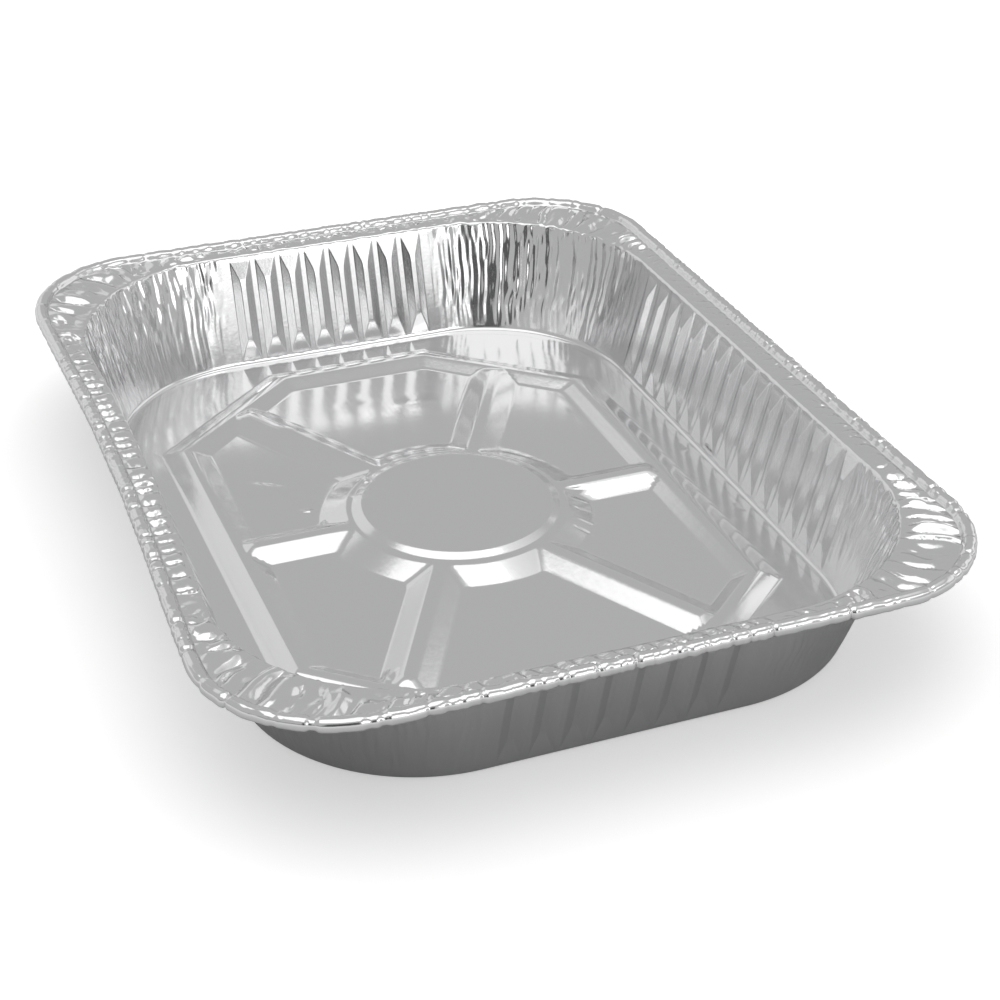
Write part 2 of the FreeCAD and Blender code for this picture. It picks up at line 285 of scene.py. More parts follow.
def reach(start, heading, outline):
    """Where rays from inside meet a rounded rectangle (half width, half length, corner):
    points on it and its outward normals. A ray meets the straight side, or else the arc."""
    half_w, half_l, corner = outline
    flip = np.where(np.abs(heading) > 1e-9, np.sign(heading), np.sign(start))
    flip = np.where(flip == 0, 1, flip)
    at, way = start * flip, np.abs(heading)
    with np.errstate(divide="ignore", invalid="ignore"):
        to_side = (half_w - at[:, 0]) / way[:, 0]
        to_end = (half_l - at[:, 1]) / way[:, 1]
        middle = np.array((half_w - corner, half_l - corner))
        gap = middle - at
        along = (gap * way).sum(1)
        to_arc = along + np.sqrt(np.clip(along ** 2 - (gap ** 2).sum(1) + corner ** 2, 0, None))
        side_hit = at[:, 1] + to_side * way[:, 1] <= middle[1]
        end_hit = at[:, 0] + to_end * way[:, 0] <= middle[0]
    far = np.where(side_hit, to_side, np.where(end_hit, to_end, to_arc))
    point = at + far[:, None] * way
    normal = (point - middle) / corner
    normal[side_hit] = (1, 0)
    normal[end_hit & ~side_hit] = (0, 1)
    return point * flip, normal * flip


def ring(outline, inset=0.0):
    """Where the pan's rays meet an outline moved inwards by the inset."""
    half_w, half_l, corner = outline
    return reach(ray_from, ray_to, (half_w - inset, half_l - inset, corner - inset))


# Gathers: folds of the spare sheet round the corners

def fold_line(seed, spacing, depth, length):
    """Zigzag over distance: knots at uneven spacing, heights by turns up and down."""
    chance = np.random.default_rng(seed)
    steps = chance.uniform(0.5, 1.5, int(length / spacing) + 12) * spacing
    knots = np.cumsum(steps) - 5 * spacing
    heights = chance.uniform(0.3, 1.0, len(knots)) * depth
    heights[1::2] *= -1

    def line(at):
        return np.interp(at, knots, heights)
    return line


def pleat_row(seed, spacing, height, length, uneven):
    """Bulges with sharp grooves between them, as a function of distance along the edge and
    share of the way outwards. From knot to knot the height is the sine of a power of the
    way, which leans the bulge; each one starts at its own share and grows from there."""
    chance = np.random.default_rng(seed)
    count = int(length / spacing) + 14
    knots = np.cumsum(chance.uniform(1 - uneven, 1 + uneven, count) * spacing) - 5 * spacing
    heights = chance.uniform(1 - uneven, 1.0, count) * height
    leans = np.exp(chance.uniform(-uneven, uneven, count))
    starts = chance.uniform(-0.3, uneven - 0.15, count)

    def row(at, share):
        cell = np.interp(at, knots, np.arange(count))
        number = np.minimum(cell.astype(int), count - 1)
        grown = np.clip((share - starts[number]) / PLEAT_GROWTH, 0, 1)
        bulge = np.sin(np.pi * (cell % 1) ** leans[number]) ** PLEAT_FULL
        return bulge * heights[number] * grown
    return row


def corner_folds(distance, climb, seed, spacing, depth, drifting):
    """Crumpled folds: a zigzag across, whose lines wander with the height, changing over
    to a second and a third zigzag on the way up."""
    total = 0.0
    for layer in range(FOLD_LAYERS):
        drift = noise_line(seed + 10 + layer, 1.0, DRIFT_STEP, drifting)(climb)
        wander = noise_line(seed + 20 + layer, FOLD_REACH, WANDER_STEP,
                            drifting * WANDER_SHARE)(distance)
        line = fold_line(seed + layer, spacing, depth, FOLD_REACH)
        weight = hump((climb - LAYER_STEP * layer) / LAYER_HALF)
        total = total + weight * line(distance + drift + wander * climb)
    return total


# The sheet from the foot to the bead, as one grid: rows up the profile, one column a ray

border, _ = ring(FOOT, BORDER_INSET + BORDER_GAP)
foot_flat, _ = ring(FOOT)
mouth_flat, _ = ring(MOUTH)
bead_in_flat, bead_out_way = ring(RIM, 2 * BEAD)
bead_mid_flat = bead_in_flat + bead_out_way * BEAD

foot = lift(foot_flat, FOOT_Z)
mouth = lift(mouth_flat, MOUTH_Z)
flange_edge = lift(bead_in_flat - bead_out_way * FILLET_RUN, BEAD_Z - FILLET_DROP)
wall_way = unit(mouth - foot)
wall_long = np.linalg.norm(mouth - foot, axis=1)
ray_out = lift(ray_to, 0.0)
wall_in = unit(np.cross(np.cross(wall_way, ray_out), wall_way)) * -1

in_corner = ray_side < 0
corner_sway = np.where(in_corner, np.sin(np.pi * ray_turn) ** 0.5, 0.0)

BORDER_ROWS = np.array((0.0, 0.35, 0.7))
FOOT_ROWS = np.linspace(0, 1, 7)
WALL_MARKS = np.array((FOOT_BEND, 2.6, 10.6, 33.0, 41.6))
WALL_STEPS = (2, 12, 14, 12)
BEND_ROWS = np.linspace(0, 1, 5)
FLANGE_ROWS = np.linspace(0, 1, 17)
FILLET_ROWS = np.linspace(0, 1, 5)
BEAD_ROWS = np.linspace(BEAD_FROM, BEAD_TO, 18)


def rib_height(across, climb, length):
    """Hipped bar: the least of side slope, end slopes and crest, with softened creases."""
    sides = (RIB_HALF - np.abs(across)) / RIB_FACET
    ends = np.minimum(climb, length - climb) / RIB_HIP
    top = ease_min(ease_min(sides, ends, RIB_ROUND), np.ones_like(ends), RIB_ROUND)
    return RIB_PROUD * ease_max(top, np.zeros_like(top), RIB_ROUND)


def follow_hips(across, climbed):
    """Columns moved sideways so that the three at the edge of the crest run down its hips:
    each stretch between creases is drawn out in proportion."""
    ends = np.minimum(climbed, RIB_LENGTH - climbed) / RIB_HIP
    edge = RIB_HALF - RIB_FACET * np.clip(ends, 0.2, 1.0)
    flat_edge, w = RIB_HALF - RIB_FACET, CREASE_COLUMN
    far = np.broadcast_to(np.abs(across), edge.shape)
    inside = far / (flat_edge - w) * (edge - w)
    outside = edge + w + (far - flat_edge - w) * (RIB_HALF - 2 * w - edge) / (RIB_FACET - 2 * w)
    moved = np.where(far < flat_edge - w, inside,
                     np.where(far < flat_edge + w, edge + far - flat_edge, outside))
    return np.sign(across) * np.where(far < RIB_HALF - w, moved, far)


def build_wall():
    """Rows between the bend at the foot and the shoulder: points at even shares of the
    straight line from foot to mouth, moved inwards by the ribs and the corner folds."""
    climb = between(WALL_MARKS, WALL_STEPS)
    top = wall_long - SHOULDER_BEND
    span = (climb[:, None] - FOOT_BEND) / (WALL_MARKS[-1] - FOOT_BEND)
    distance = FOOT_BEND + span * (top - FOOT_BEND)
    flat = foot + distance[..., None] * wall_way
    climbed = distance - (RIB_Z - FOOT_Z) / wall_way[:, 2]
    ribbed_half = np.choose(ray_side % 2, (RIBS_LONG, RIBS_SHORT)) * PITCH / 2
    ribbed = ~in_corner & (np.abs(ray_place) < ribbed_half - 0.01)
    across = np.where(ribbed, ray_place % PITCH - PITCH / 2, PITCH / 2)
    moved = follow_hips(across, climbed)
    flat = flat + ((moved - across) * ribbed)[..., None] * lift(ray_left, 0.0)
    rib = np.where(ribbed, rib_height(moved, climbed, RIB_LENGTH), 0.0)
    share = distance / wall_long
    folds = np.zeros_like(distance)
    for corner in range(4):
        here = ray_side == -1 - corner
        rise = np.clip(share[:, here] * 1.1 - 0.05, 0, 1)
        gathers = sum(corner_folds(ray_turn[here] * WALL_ARC, share[:, here],
                                   100 * corner + seed, spacing, depth, drifting)
                      for seed, spacing, depth, drifting in WALL_FOLDS)
        folds[:, here] = gathers * rise ** 0.5 * corner_sway[here]
    return flat + (rib + folds)[..., None] * wall_in


def build_flange():
    """Rows from the shoulder over the flange: a bend, then a straight strip to the bead,
    raised and lowered by folds that run outwards, strong at the corners and slight along
    the sides."""
    flange_way = unit(flange_edge - mouth)
    wall_top = mouth - wall_way * SHOULDER_BEND
    strip_start = mouth + flange_way * SHOULDER_BEND
    bend = turn_over(wall_top, mouth, strip_start, BEND_ROWS[:, None, None])
    strip = strip_start + FLANGE_ROWS[1:, None, None] * (flange_edge - strip_start)
    grid = np.concatenate([bend, strip])
    share = np.concatenate([BEND_ROWS * BEND_SHARE,
                            BEND_SHARE + (1 - BEND_SHARE) * FLANGE_ROWS[1:]])[:, None]
    folds = np.zeros(grid.shape[:2])
    fade = np.interp(share, FOLD_PLACES, FOLD_SHARES)
    spacing, height, uneven, mean = CORNER_PLEATS
    for corner in range(4):
        here = ray_side == -1 - corner
        far = ray_turn[here] * FLANGE_ARC
        wavy = far + 0.7 * np.sin(5.0 * share + 0.15 * far)
        broad = pleat_row(100 * corner + 57, spacing, height, FOLD_REACH, uneven)(wavy, share)
        narrow = corner_folds(far, share, 100 * corner + 77, *PLEAT_FOLDS)
        folds[:, here] = (broad - mean + narrow) * corner_sway[here]
    for side, (spacing, height, crumpled, leaning) in enumerate(PILLOWS):
        here = ray_side == side
        far = ray_place[here] + SIDE_MIDDLE + 0.5 * np.sin(6.0 * share) + leaning * share
        pillows = pleat_row(500 + side, spacing, height, SIDE_REACH, PILLOW_UNEVEN)(far, share)
        crumple = corner_folds(far, share, 540 + 10 * side, *CRUMPLES)
        folds[:, here] = (pillows - height * PILLOW_MEAN
                          + crumple * crumpled * np.clip(share * 2 - 0.7, 0.15, 1.0))
    grid[..., 2] += folds * fade
    return grid


def bow(points):
    """The left side of the rim leans inwards, most at the middle of its far half: the push
    grows with the height and fades out round the corners and towards the middle."""
    x, y, z = points[..., 0], points[..., 1], points[..., 2]
    push = np.interp(y, BOW_PLACES, BOW_PUSHES)
    share = np.clip((-x - BOW_FROM) / BOW_RUN, 0, 1)
    moved = points.copy()
    moved[..., 0] += push * share * share * (3 - 2 * share) * np.clip(z / RIM_TOP, 0, 1)
    return moved


def flatten(wave):
    """Sine or cosine to a power below 1, with its sign kept: a circle drawn with it has
    fuller shoulders."""
    return np.sign(wave) * np.abs(wave) ** BEAD_FLAT


def build_bead():
    """Roll of the rim: from the flange a short fillet, then round the section by angle,
    middle + radius * (cosine outwards + sine upwards). Pinches shorten the radius, and the
    whole roll sags a little here and there."""
    out = lift(bead_out_way, 0.0)
    middle = lift(bead_mid_flat, BEAD_Z)
    place = np.where(in_corner, ray_turn * BEAD_ARC, ray_place + SIDE_MIDDLE)
    pinch = np.zeros(RAYS)
    sag = np.zeros(RAYS)
    for side in range(-4, 4):
        here = ray_side == side
        chance = np.random.default_rng(900 + side)
        for at in np.cumsum(chance.uniform(*PINCH_STEP, PINCHES)):
            width = chance.uniform(*PINCH_HALF)
            pinch[here] += chance.uniform(*PINCH_DEPTH) * hump((place[here] - at) / width)
        pinch[here] *= SMOOTH_SIDES.get(side, 1.0)
        pinch[here] += ROLL_DENT_MEAN + fold_line(700 + side, *ROLL_DENTS,
                                                  SIDE_REACH)(place[here])
        sag[here] = np.abs(fold_line(800 + side, *ROLL_SAG, SIDE_REACH)(place[here]))
    turn = np.radians(BEAD_ROWS)[:, None, None]
    radius = (BEAD - np.clip(pinch, 0.0, PINCH_MOST))[:, None]
    way = flatten(np.cos(turn)) * out + flatten(np.sin(turn)) * UP
    arc = middle - sag[:, None] * UP + radius * way
    fillet = turn_over(flange_edge, lift(bead_in_flat, BEAD_Z), arc[0],
                       FILLET_ROWS[:-1, None, None])
    return np.concatenate([fillet, arc])


def build_skirt():
    """All rows from the border in the base to the end of the roll, bowed, and the last row
    of each part."""
    inside = foot - ray_out * FOOT_BEND
    edge = lift(border, FOOT_Z)
    flat = edge + BORDER_ROWS[:, None, None] * (inside - edge)
    bend = turn_over(inside, foot, foot + wall_way * FOOT_BEND, FOOT_ROWS[:, None, None])
    parts = [np.concatenate([flat, bend]), build_wall()[1:], build_flange()[1:],
             build_bead()[1:]]
    ends = np.cumsum([len(part) for part in parts]) - 1
    return bow(np.concatenate(parts)), ends


def grid_normals(grid):
    """Normals at the points of a grid that closes on itself along its rows: the mean of
    the four faces round each point by the square of their area, so that wide faces stay
    flat and narrow ones carry the creases. A face's normal comes from its diagonals, and
    the base's normals point up."""
    after = np.roll(grid, -1, axis=1)
    face = np.cross(after[1:] - grid[:-1], grid[1:] - after[:-1])
    face = face * np.linalg.norm(face, axis=-1, keepdims=True)
    face = np.concatenate([face[:1], face, face[-1:]])
    both = face[:-1] + face[1:]
    normals = unit(both + np.roll(both, 1, axis=1))
    return normals * np.sign(normals[0, 0, 2])


# The base: columns run outwards from the middle and follow the spokes, rows follow the disc,
# the hub, the frame and the foot of the wall

SPOKE_OFFSETS = np.array((0, .8, 1.3, 1.7, 2.2, 3.2, 4.8, 6.4, 8.0, 9.0, 9.6, 10.2, 11.2))
PANEL_COLUMNS = 76
HUB_ROWS = between(np.array((0.0, 8.0, 32.4, 34.2, 36.2, 37.8, 39.6, 47.2, 48.4)),
                   (3, 9, 5, 3, 4, 5, 8, 4))
# Half width of the bands of close rows on each of the frame's outlines, and steps of rows in
# the bands and between them
OUTLINE_BANDS = ((FRAME_IN, 1.0), (CREST_IN, 0.8), (CREST_OUT, 0.8), (FRAME_OUT, 1.0))
OUTLINE_STEPS = (14, 4, 5, 3, 2, 3, 5, 4, 3)
POLE_SHARE = 0.02


def dents(x, y):
    """Marks of handling: bells drawn out along their bearing, up or down."""
    total = np.zeros_like(x)
    for dent_x, dent_y, bearing, half_long, half_wide, height in DENTS:
        cosine, sine = math.cos(math.radians(bearing)), math.sin(math.radians(bearing))
        along = (x - dent_x) * cosine + (y - dent_y) * sine
        aside = (y - dent_y) * cosine - (x - dent_x) * sine
        total = total + height * hump(along / half_long) * hump(aside / half_wide)
    return total


def relief(x, y):
    """Height of the base: the greatest of the slopes of hub and spokes, cut off at their
    crest, and of the frame, with softened creases; the disc and the dents are added."""
    far = np.hypot(x, y)
    none = np.zeros_like(x)
    total = RELIEF * (HUB_FOOT - far) / (HUB_FOOT - HUB_CREST)
    for turn, end in zip(SPOKE_TURNS, SPOKE_ENDS):
        cosine, sine = math.cos(math.radians(turn)), math.sin(math.radians(turn))
        aside = np.abs(x * sine - y * cosine)
        along = np.abs(x * cosine + y * sine)
        spoke = ease_min(RELIEF * (SPOKE_HALF - aside) / SPOKE_FACET,
                         RELIEF * (end - along) / SPOKE_RUN, JOIN_ROUND)
        total = ease_max(total, spoke, JOIN_ROUND)
    total = ease_min(total, none + RELIEF, CREASE_ROUND)
    across, along = np.abs(x), np.abs(y)
    slant = SLANT[0] * across + SLANT[1] * along
    rise, fall = none - math.inf, none + math.inf
    for at, out, crest_out, crest_in, foot_in in zip((across, along, slant), FRAME_OUT,
                                                     CREST_OUT, CREST_IN, FRAME_IN):
        fall = np.minimum(fall, FRAME_H * (out - at) / (out - crest_out))
        rise = ease_max(rise, FRAME_H * (at - foot_in) / (crest_in - foot_in), CREASE_ROUND)
    frame_part = ease_min(ease_min(rise, fall, CREASE_ROUND), none + FRAME_H, CREASE_ROUND)
    total = ease_max(ease_max(total, frame_part, CREASE_ROUND), none, CREASE_ROUND)
    step = DISC_RISE * (DISC_FOOT - far) / (DISC_FOOT - DISC_TOP)
    step = ease_max(ease_min(step, none + DISC_RISE, DISC_ROUND), none, DISC_ROUND)
    return FOOT_Z + total + step + dents(x, y)


def relief_normals(x, y):
    """Normals of the base from the slope of its height, taken over a tenth of a millimetre."""
    tiny = 0.05
    slope_x = (relief(x + tiny, y) - relief(x - tiny, y)) / (2 * tiny)
    slope_y = (relief(x, y + tiny) - relief(x, y - tiny)) / (2 * tiny)
    return unit(np.stack([-slope_x, -slope_y, np.ones_like(slope_x)], -1))


def octagon_hit(start, way, sides):
    """Distance along straight columns to an eight-sided outline: the nearest of its sides."""
    nearest = np.full(len(start), np.inf)
    mirrored = [(sx * nx, sy * ny, c) for (nx, ny), c in zip(((1, 0), (0, 1), SLANT), sides)
                for sx in (1, -1) for sy in (1, -1)]
    for nx, ny, offset in mirrored:
        speed = way[:, 0] * nx + way[:, 1] * ny
        gap = offset - start[:, 0] * nx - start[:, 1] * ny
        with np.errstate(divide="ignore", invalid="ignore"):
            nearest = np.where(speed > 1e-9, np.minimum(nearest, gap / speed), nearest)
    return nearest


def base_columns():
    """Start on the hub's foot and end on the border of every column: beside a spoke they
    run along it, in a panel they fan out evenly."""
    limits = tuple(value - BORDER_INSET for value in FOOT)
    offsets = np.concatenate([-SPOKE_OFFSETS[:0:-1], SPOKE_OFFSETS])
    starts, ends = [], []
    for turn in SPOKE_TURNS + tuple(turn + 180 for turn in SPOKE_TURNS):
        axis = np.array((math.cos(math.radians(turn)), math.sin(math.radians(turn))))
        left = np.array((-axis[1], axis[0]))
        start = (np.sqrt(HUB_FOOT ** 2 - offsets ** 2)[:, None] * axis
                 + offsets[:, None] * left)
        end, _ = reach(start, np.broadcast_to(axis, start.shape), limits)
        starts.append(start)
        ends.append(end)
    spokes = len(starts)
    share = np.arange(1, PANEL_COLUMNS) / PANEL_COLUMNS
    for number in range(spokes):
        turned = []
        for group in (starts, ends):
            last, first = group[number][-1], group[(number + 1) % spokes][0]
            low, high = math.atan2(last[1], last[0]), math.atan2(first[1], first[0])
            turned.append(low + share * ((high - low) % (2 * math.pi)))
        start = HUB_FOOT * np.stack([np.cos(turned[0]), np.sin(turned[0])], 1)
        way = np.stack([np.cos(turned[1]), np.sin(turned[1])], 1)
        end, _ = reach(np.zeros_like(way), way, limits)
        starts.append(start)
        ends.append(end)
    order = [part for number in range(spokes) for part in (number, number + spokes)]
    return (np.concatenate([starts[k] for k in order]),
            np.concatenate([ends[k] for k in order]))


def build_base():
    """Points of the hub (rows by radius, the first drawn together to a pole) and of the
    rest (rows by share of the way, close together at the frame's outlines)."""
    start, end = base_columns()
    hub = start / HUB_FOOT * HUB_ROWS[:, None, None]
    hub[0] = hub[1] * POLE_SHARE
    way = end - start
    marks = [np.zeros(len(start))]
    for sides, spread in OUTLINE_BANDS:
        hit = octagon_hit(start, way, sides)
        margin = spread / np.linalg.norm(way, axis=1)
        marks += [hit - margin, hit + margin]
    marks.append(np.ones(len(start)))
    rows = [low + (high - low) * step / count
            for low, high, count in zip(marks, marks[1:], OUTLINE_STEPS)
            for step in range(count)]
    share = np.array(rows + [marks[-1]])
    return hub, start + share[..., None] * way


# Materials: the inside of the sheet is bright, its underside is dull

ROLLING_LINES = (900.0, 40.0, 900.0)
PEEL_SCALE = 260.0


def node(tree, kind, **sockets):
    """Shader node with the values of some of its sockets."""
    made = tree.nodes.new(kind)
    for socket, value in sockets.items():
        made.inputs[socket].default_value = value
    return made


def make_foil(name, shade, smooth, rough):
    """Aluminium: a metal with faint rolling lines and a slight orange-peel bump. Its
    roughness wanders between the two given values."""
    material = bpy.data.materials.new(name)
    material.use_nodes = True
    tree = material.node_tree
    shader = tree.nodes["Principled BSDF"]
    shader.inputs["Base Color"].default_value = (shade, shade, shade * 1.005, 1)
    shader.inputs["Metallic"].default_value = 1.0
    place = tree.nodes.new("ShaderNodeTexCoord")
    stretch = node(tree, "ShaderNodeMapping", Scale=ROLLING_LINES)
    tree.links.new(place.outputs["Object"], stretch.inputs["Vector"])
    lines = node(tree, "ShaderNodeTexNoise", Scale=1.0, Detail=3.0)
    tree.links.new(stretch.outputs["Vector"], lines.inputs["Vector"])
    soft = node(tree, "ShaderNodeTexNoise", Scale=PEEL_SCALE, Detail=4.0, Roughness=0.55)
    tree.links.new(place.outputs["Object"], soft.inputs["Vector"])
    polish = node(tree, "ShaderNodeMapRange", **{"To Min": smooth, "To Max": rough})
    tree.links.new(lines.outputs["Fac"], polish.inputs["Value"])
    tree.links.new(polish.outputs["Result"], shader.inputs["Roughness"])
    peel = node(tree, "ShaderNodeBump", Strength=0.06, Distance=0.0004)
    tree.links.new(soft.outputs["Fac"], peel.inputs["Height"])
    ripple = node(tree, "ShaderNodeBump", Strength=0.05, Distance=0.0002)
    tree.links.new(lines.outputs["Fac"], ripple.inputs["Height"])
    tree.links.new(peel.outputs["Normal"], ripple.inputs["Normal"])
    tree.links.new(ripple.outputs["Normal"], shader.inputs["Normal"])
    return material


foil = make_foil("bright_foil", 0.8, 0.1, 0.17)
dull_foil = make_foil("dull_foil", 0.6, 0.26, 0.36)
BRIGHT, DULL = 0, 1


# Meshes: every part of the sheet is a thin closed shell

def grid_quads(index):
    """Faces between neighbouring rows and columns of a grid of point numbers."""
    return np.stack([index[:-1, :-1], index[:-1, 1:], index[1:, 1:], index[1:, :-1]],
                    -1).reshape(-1, 4)


def strip_quads(one, other):
    """Faces between two lines of point numbers."""
    return np.stack([one[:-1], one[1:], other[1:], other[:-1]], -1)


def skin_faces(index, under, wrap):
    """Faces of the upper skin, of the lower skin, and of the strips that close the edges."""
    strips = [strip_quads(under[0], index[0]), strip_quads(index[-1], under[-1])]
    if not wrap:
        strips += [strip_quads(index[:, 0], under[:, 0]),
                   strip_quads(under[:, -1], index[:, -1])]
    return grid_quads(index), grid_quads(under)[:, ::-1], np.concatenate(strips)


def faces_agree(faces, points, normals):
    """Whether faces, by the cross product of their diagonals, look the way of the normals."""
    corners = points[faces]
    facing = np.cross(corners[:, 2] - corners[:, 0], corners[:, 3] - corners[:, 1])
    return (facing * normals[faces[:, 0]]).sum() > 0


def shell(name, patches, wrap):
    """Piece from patches of (points, normals): the upper skin, the lower skin one gauge
    below it, and strips that close the edges. With wrap, the last column joins the first."""
    points, normals, faces, skins = [], [], [], []
    count = 0
    for upper, out in patches:
        rows, cols = upper.shape[:2]
        flat_upper, flat_out = upper.reshape(-1, 3), out.reshape(-1, 3)
        points += [flat_upper, flat_upper - flat_out * GAUGE]
        normals += [flat_out, -flat_out]
        index = np.arange(rows * cols).reshape(rows, cols)
        under = index + rows * cols
        if wrap:
            index = np.concatenate([index, index[:, :1]], 1)
            under = np.concatenate([under, under[:, :1]], 1)
        top, bottom, strips = skin_faces(index, under, wrap)
        group = np.concatenate([top, bottom, strips])
        group = group if faces_agree(top, flat_upper, flat_out) else group[:, ::-1]
        faces.append(count + group)
        skins.append(np.repeat((BRIGHT, DULL, BRIGHT), (len(top), len(bottom), len(strips))))
        count += 2 * rows * cols
    points = np.concatenate(points) * METRE
    normals = np.concatenate(normals)
    faces = np.concatenate(faces)
    mesh = bpy.data.meshes.new(name)
    mesh.vertices.add(len(points))
    mesh.vertices.foreach_set("co", points.astype(np.float32).ravel())
    mesh.loops.add(faces.size)
    mesh.loops.foreach_set("vertex_index", faces.astype(np.int32).ravel())
    mesh.polygons.add(len(faces))
    mesh.polygons.foreach_set("loop_start", np.arange(0, faces.size, 4, dtype=np.int32))
    mesh.polygons.foreach_set("use_smooth", np.ones(len(faces), dtype=bool))
    mesh.polygons.foreach_set("material_index", np.concatenate(skins).astype(np.int32))
    mesh.update(calc_edges=True)
    mesh.validate()
    mesh.normals_split_custom_set_from_vertices(normals.tolist())
    piece = bpy.data.objects.new(name, mesh)
    scene.collection.objects.link(piece)
    mesh.materials.append(foil)
    mesh.materials.append(dull_foil)
    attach(piece, "root")
    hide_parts("pan")
    return piece


# Pieces

skirt, part_ends = build_skirt()
skirt_normals = grid_normals(skirt)
foot_end, wall_end, flange_end, bead_end = part_ends
every = np.arange(RAYS)


def patch(rows, cols):
    """Part of the skirt: its points and normals."""
    return skirt[rows][:, cols], skirt_normals[rows][:, cols]


def wall_patches(wanted):
    """Wall strips of one kind: for each side or corner its rays and the next one."""
    rows = slice(foot_end, wall_end + 1)
    found = []
    for side in wanted:
        inside = np.flatnonzero(ray_side == side)
        found.append(patch(rows, np.append(inside, (inside[-1] + 1) % RAYS)))
    return found


def base_patch(flat):
    """Part of the base: places seen from above, raised by the relief."""
    x, y = flat[..., 0], flat[..., 1]
    return np.stack([x, y, relief(x, y)], -1), relief_normals(x, y)


shell("base_edge", [patch(slice(0, foot_end + 1), every)], True)
shell("ribbed_walls", wall_patches((0, 1, 2, 3)), False)
shell("corner_walls", wall_patches((-1, -2, -3, -4)), False)
shell("flange", [patch(slice(wall_end, flange_end + 1), every)], True)
shell("rolled_bead", [patch(slice(flange_end, bead_end + 1), every)], True)
hub_flat, outer_flat = build_base()
shell("base_hub", [base_patch(hub_flat)], True)
shell("base_frame", [base_patch(outer_flat)], True)

# Stage, in metres: a pale floor, whose glow grows with the distance from the pan's foot and
# differs by the kind of ray (its dimmer ring round the foot is painted shade), a softbox
# overhead, and boards that only the metal sees

FLOOR_HALF = 4.0
FLOOR_SHADE = 0.65
# Kind of ray, glow beside the pan and away from it, and the distances where it starts and
# stops growing
# Painted shade: beside the pan the glossy glow is nil, so the metal reflects a dark floor round its
# foot, while the camera's glow there only partly lifts the floor's shadow.
FLOOR_GLOWS = (("Is Camera Ray", 0.45, 0.75, 0.0, 0.09),
               ("Is Glossy Ray", 0.0, 0.3, 0.0, 0.25),
               ("Is Transmission Ray", 0.0, 0.3, 0.0, 0.25))
GREY = 0.516
SOFTBOX_SIZE = (1.3, 1.51)
SOFTBOX_PLACE = (-0.257, -0.271, 1.3)
SOFTBOX_TURN = -28.0
SOFTBOX_POWER = 5.0
# Upright boards: levels at the lower and the upper edge, bearing from the near side (degrees,
# to the right), distance, width, and heights of the edges
CARDS = (("white_card", (1.0, 1.0), 14.0, 1.3, 0.55, 0.0, 0.26),
         ("bright_card", (2.2, 2.2), 16.0, 1.3, 0.65, 0.26, 0.62),
         ("dark_card", (0.1, 0.1), -20.0, 1.1, 0.48, 0.0, 0.62),
         ("pale_card", (0.78, 0.78), 201.0, 1.4, 1.07, 0.42, 1.28),
         ("far_low_card", (0.85, GREY), 200.0, 1.6, 2.4, 0.0, 0.7),
         ("far_right_low_card", (0.08, GREY), 141.0, 1.6, 1.6, 0.0, 0.3),
         ("near_low_card", (0.08, 0.45), -48.0, 1.25, 1.2, 0.0, 0.2),
         ("near_right_card", (1.4, 1.4), 38.0, 1.3, 1.1, 0.55, 1.1),
         ("right_card", (0.95, 0.95), 96.0, 1.5, 1.6, 0.32, 1.1))
# Level board to the right of the softbox, from white at its left to grey at its right
GLOW_CORNERS = ((0.35, -0.4, 1.31), (1.6, -0.4, 1.31), (1.6, 0.85, 1.31), (0.35, 0.3, 1.31))
GLOW_FROM, GLOW_TO = 0.42, 1.5


def stage_sheet(name, corners, material):
    """Flat four-cornered sheet of the stage."""
    mesh = bpy.data.meshes.new(name)
    mesh.from_pydata([tuple(map(float, corner)) for corner in corners], [], [(0, 1, 2, 3)])
    mesh.materials.append(material)
    sheet = bpy.data.objects.new(name, mesh)
    scene.collection.objects.link(sheet)
    return sheet


def math_node(tree, operation, first, second):
    """Product, maximum or the like of two outputs."""
    made = tree.nodes.new("ShaderNodeMath")
    made.operation = operation
    tree.links.new(first, made.inputs[0])
    tree.links.new(second, made.inputs[1])
    return made.outputs[0]


def distance_from_foot(tree):
    """Length of the greater of (|x| - arc x, |y| - arc y) and 0: the distance seen from
    above to the rectangle of the corner arcs' middles."""
    flow = tree.nodes.new("ShaderNodeTexCoord").outputs["Object"]
    for operation, value in (("ABSOLUTE", None),
                             ("SUBTRACT", (ARC_X * METRE, ARC_Y * METRE, 0)),
                             ("MAXIMUM", (0, 0, 0)), ("LENGTH", None)):
        step = tree.nodes.new("ShaderNodeVectorMath")
        step.operation = operation
        tree.links.new(flow, step.inputs[0])
        if value is not None:
            step.inputs[1].default_value = value
        flow = step.outputs["Value" if operation == "LENGTH" else "Vector"]
    return flow


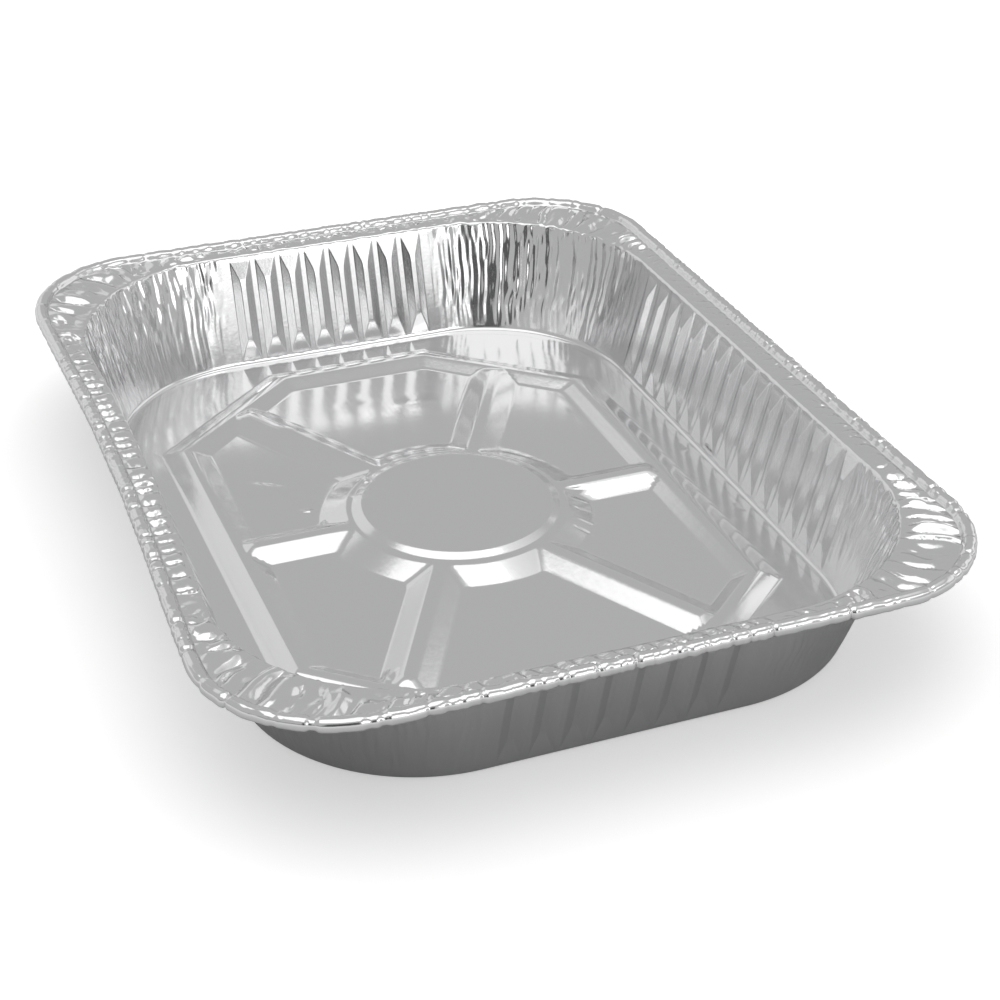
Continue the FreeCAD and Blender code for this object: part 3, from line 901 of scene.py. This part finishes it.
def make_floor():
    """Floor a little below the pan: a matt sheet with the greatest of the three glows, which are
    weaker round the pan's foot and so paint shade there.
    """
    material = bpy.data.materials.new("pale_floor")
    material.use_nodes = True
    tree = material.node_tree
    matt = tree.nodes["Principled BSDF"]
    matt.inputs["Base Color"].default_value = (FLOOR_SHADE, FLOOR_SHADE, FLOOR_SHADE, 1)
    matt.inputs["Roughness"].default_value = 0.9
    matt.inputs["Specular IOR Level"].default_value = 0.1
    matt.inputs["Emission Color"].default_value = (1, 1, 1, 1)
    rays = tree.nodes.new("ShaderNodeLightPath")
    away = distance_from_foot(tree)
    glows = []
    for output, low, high, near, wide in FLOOR_GLOWS:
        ramp = node(tree, "ShaderNodeMapRange",
                    **{"From Min": FOOT[2] * METRE + near, "From Max": FOOT[2] * METRE + wide,
                       "To Min": low, "To Max": high})
        ramp.interpolation_type = "SMOOTHSTEP"
        tree.links.new(away, ramp.inputs["Value"])
        glows.append(math_node(tree, "MULTIPLY", rays.outputs[output], ramp.outputs["Result"]))
    greatest = math_node(tree, "MAXIMUM", glows[0], glows[1])
    greatest = math_node(tree, "MAXIMUM", greatest, glows[2])
    tree.links.new(greatest, matt.inputs["Emission Strength"])
    z = -FLOOR_GAP * METRE
    corners = [(x * FLOOR_HALF, y * FLOOR_HALF, z) for x, y in ((-1, -1), (1, -1), (1, 1), (-1, 1))]
    stage_sheet("floor", corners, material)


def make_light():
    """Even grey surroundings and one softbox that shines straight down."""
    world = bpy.data.worlds.new("studio")
    world.use_nodes = True
    surroundings = world.node_tree.nodes["Background"]
    surroundings.inputs["Color"].default_value = (GREY, GREY, GREY, 1)
    surroundings.inputs["Strength"].default_value = 1.0
    scene.world = world
    lamp = bpy.data.lights.new("softbox", "AREA")
    lamp.shape = "RECTANGLE"
    lamp.size, lamp.size_y = SOFTBOX_SIZE
    lamp.energy = SOFTBOX_POWER
    box = bpy.data.objects.new("softbox", lamp)
    box.location = SOFTBOX_PLACE
    box.rotation_euler = (0, 0, math.radians(SOFTBOX_TURN))
    scene.collection.objects.link(box)


def make_board(name, corners, axis, reach_from, reach_to, levels):
    """Flat board beside or above the stage that only the metal sees. Its level goes evenly
    from the first to the second along one axis, between two places on it."""
    material = bpy.data.materials.new(name)
    material.use_nodes = True
    tree = material.node_tree
    paint = tree.nodes["Principled BSDF"]
    paint.inputs["Base Color"].default_value = (0, 0, 0, 1)
    paint.inputs["Specular IOR Level"].default_value = 0.0
    paint.inputs["Emission Color"].default_value = (1, 1, 1, 1)
    place = tree.nodes.new("ShaderNodeTexCoord")
    split = tree.nodes.new("ShaderNodeSeparateXYZ")
    tree.links.new(place.outputs["Object"], split.inputs["Vector"])
    ramp = node(tree, "ShaderNodeMapRange",
                **{"From Min": reach_from, "From Max": reach_to,
                   "To Min": levels[0], "To Max": levels[1]})
    tree.links.new(split.outputs[axis], ramp.inputs["Value"])
    tree.links.new(ramp.outputs["Result"], paint.inputs["Emission Strength"])
    board = stage_sheet(name, corners, material)
    board.visible_camera = board.visible_diffuse = board.visible_shadow = False


def make_card(name, levels, turn, distance, width, low, high):
    """Upright board that faces the pan: its middle is the bearing times the distance, and
    its width runs square to that."""
    bearing = math.radians(turn)
    middle = np.array((math.sin(bearing), -math.cos(bearing))) * distance
    along = np.array((math.cos(bearing), math.sin(bearing))) * width / 2
    corners = [(*(middle - along), low), (*(middle + along), low),
               (*(middle + along), high), (*(middle - along), high)]
    make_board(name, corners, "Z", low, high, levels)


# Camera: turn from the near side, rise, distance and aim in metres, and the lens by its focal
# length and the place of its axis, both in points of a picture PHOTO points wide

CAMERA_TURN, CAMERA_RISE = math.radians(-21.07), math.radians(30.34)
CAMERA_DISTANCE = 0.73448
CAMERA_AIM = Vector((0.01561, 0.01348, 0.0))
FOCAL, MIDDLE_X, MIDDLE_Y = 2038.13, 484.25, 488.5
PHOTO = 1000.0
SENSOR = 36.0


def make_camera():
    """Camera at aim + back * distance, looking against back, with its axis shifted."""
    back = Vector((math.sin(CAMERA_TURN) * math.cos(CAMERA_RISE),
                   -math.cos(CAMERA_TURN) * math.cos(CAMERA_RISE), math.sin(CAMERA_RISE)))
    right = Vector((math.cos(CAMERA_TURN), math.sin(CAMERA_TURN), 0))
    up = back.cross(right)
    lens = bpy.data.cameras.new("camera")
    lens.sensor_width = SENSOR
    lens.lens = FOCAL * SENSOR / PHOTO
    lens.shift_x = (PHOTO / 2 - MIDDLE_X) / PHOTO
    lens.shift_y = (MIDDLE_Y - PHOTO / 2) / PHOTO
    camera = bpy.data.objects.new("camera", lens)
    turn = Matrix((right, up, back)).transposed().to_4x4()
    camera.matrix_world = Matrix.Translation(CAMERA_AIM + back * CAMERA_DISTANCE) @ turn
    scene.collection.objects.link(camera)
    scene.camera = camera


make_floor()
make_light()
for card in CARDS:
    make_card(*card)
make_board("glow_board", GLOW_CORNERS, "X", GLOW_FROM, GLOW_TO, (1.0, GREY))
make_camera()
